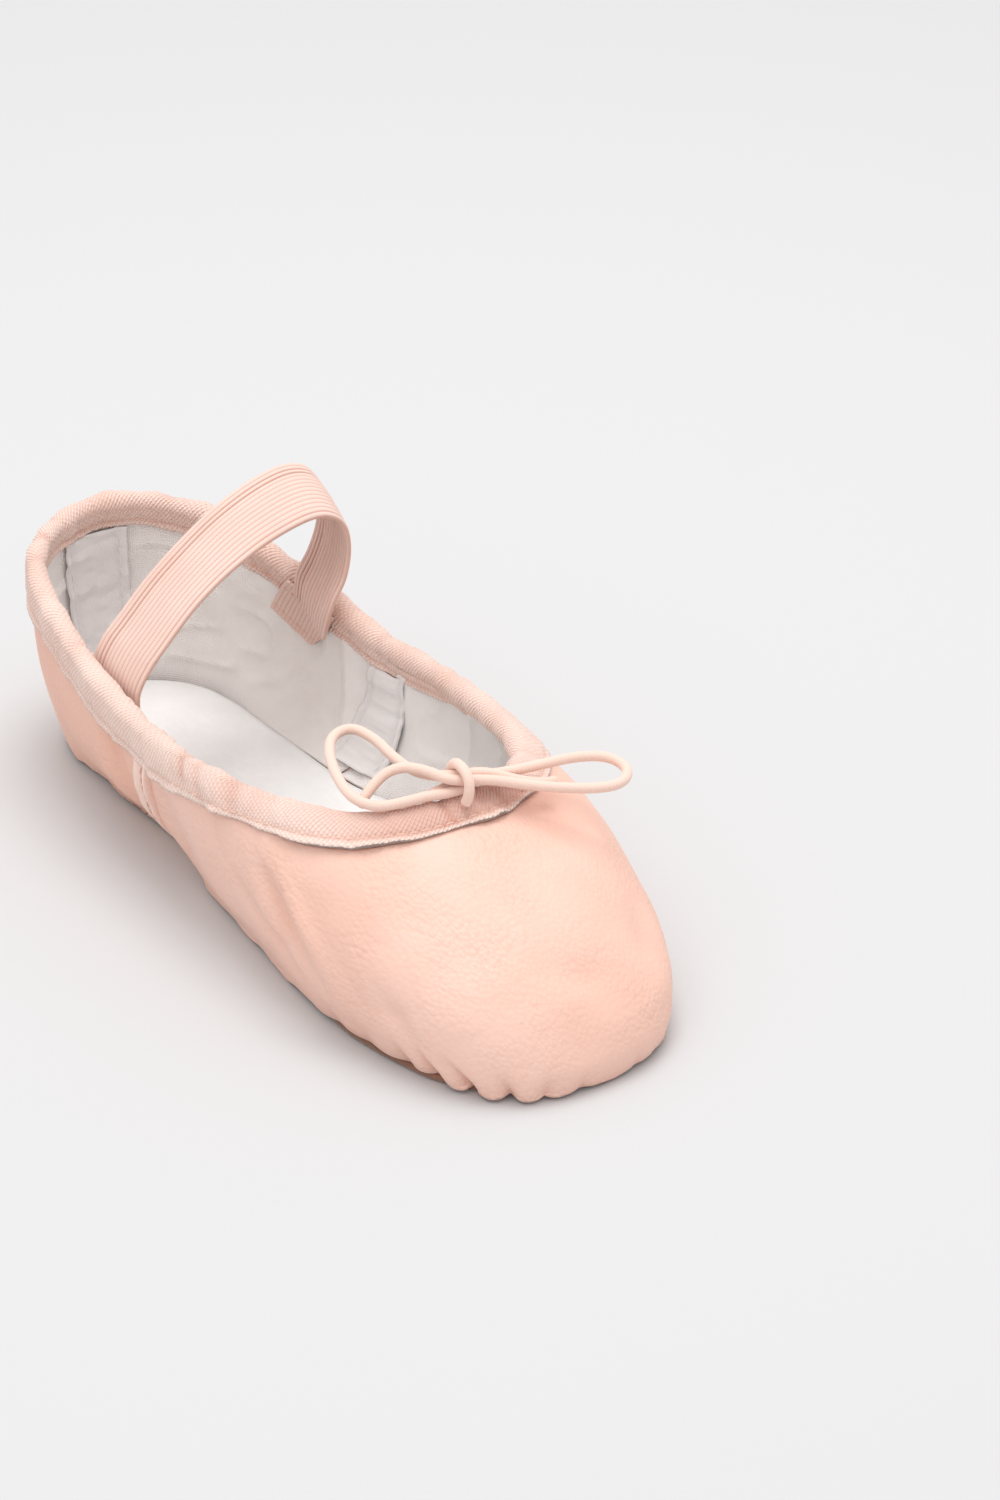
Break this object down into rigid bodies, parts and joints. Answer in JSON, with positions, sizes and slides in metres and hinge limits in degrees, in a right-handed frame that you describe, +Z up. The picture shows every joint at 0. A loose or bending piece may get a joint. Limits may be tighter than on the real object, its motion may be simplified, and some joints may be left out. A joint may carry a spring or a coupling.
{
  "type": "ballet slipper",
  "caption": "Soft leather ballet slipper with a full suede outsole, drawstring topline binding, bow and ribbed elastic strap; bends at the ball.",
  "frame": {"origin": "on the underside of the outsole, on the slipper's centre line, about halfway along", "axes": "+Z up, -Y towards the toe, +X towards the wearer's left"},
  "size_m": [0.0698, 0.187, 0.066],
  "materials": {
    "leather": "smooth matte kid leather",
    "lining": "plain cotton",
    "suede": "napped suede",
    "filler": "felt",
    "insole": "foam with cotton face",
    "sock": "brushed cotton",
    "binding": "cotton twill",
    "tape": "woven cotton tape",
    "elastic": "ribbed woven elastic",
    "cord": "braided cotton cord",
    "thread": "sewing thread"
  },
  "bodies": {
    "forefoot": {"outsole_toe": "suede", "sole_filler_toe": "filler", "insole_toe": "insole", "sock_liner_toe": "sock", "sole_stitching_toe": "thread", "vamp_toe": "leather", "vamp_lining_toe": "lining", "vamp_crease": "leather", "vamp_lining_crease": "lining"},
    "rearfoot": {"outsole_heel": "suede", "sole_filler_heel": "filler", "insole_heel": "insole", "sock_liner_heel": "sock", "sole_stitching_heel": "thread", "vamp_rear": "leather", "vamp_lining_rear": "lining", "quarter_left": "leather", "quarter_right": "leather", "quarter_lining_left": "lining", "quarter_lining_right": "lining", "side_seam_tab_left": "leather", "side_seam_tab_right": "leather", "side_seam_tape_left": "tape", "side_seam_tape_right": "tape", "heel_seam_tape": "tape", "topline_binding": "binding", "topline_stitching": "thread", "drawstring_in_casing": "cord", "strap_end_left": "elastic", "strap_end_right": "elastic"},
    "strap": {"elastic_strap": "elastic"},
    "bow": {"bow_cord_right_loop": "cord", "bow_cord_left_loop": "cord", "bow_knot": "cord"}
  },
  "joints": [
    {"name": "ball_flex", "type": "hinge", "parent": "forefoot", "child": "rearfoot", "pos_m": [0, -0.04, 0.006], "axis": [1, 0, 0], "range_deg": [0, 35], "deforming": ["vamp_crease", "vamp_lining_crease"]},
    {"name": "strap_swing", "type": "hinge", "parent": "rearfoot", "child": "strap", "pos_m": [0, 0.043, 0.0403], "axis": [1, 0, 0], "range_deg": [-35, 35]},
    {"name": "bow_flip", "type": "hinge", "parent": "rearfoot", "child": "bow", "pos_m": [0, -0.0435, 0.0422], "axis": [1, 0, 0], "range_deg": [-5, 8]}
  ]
}
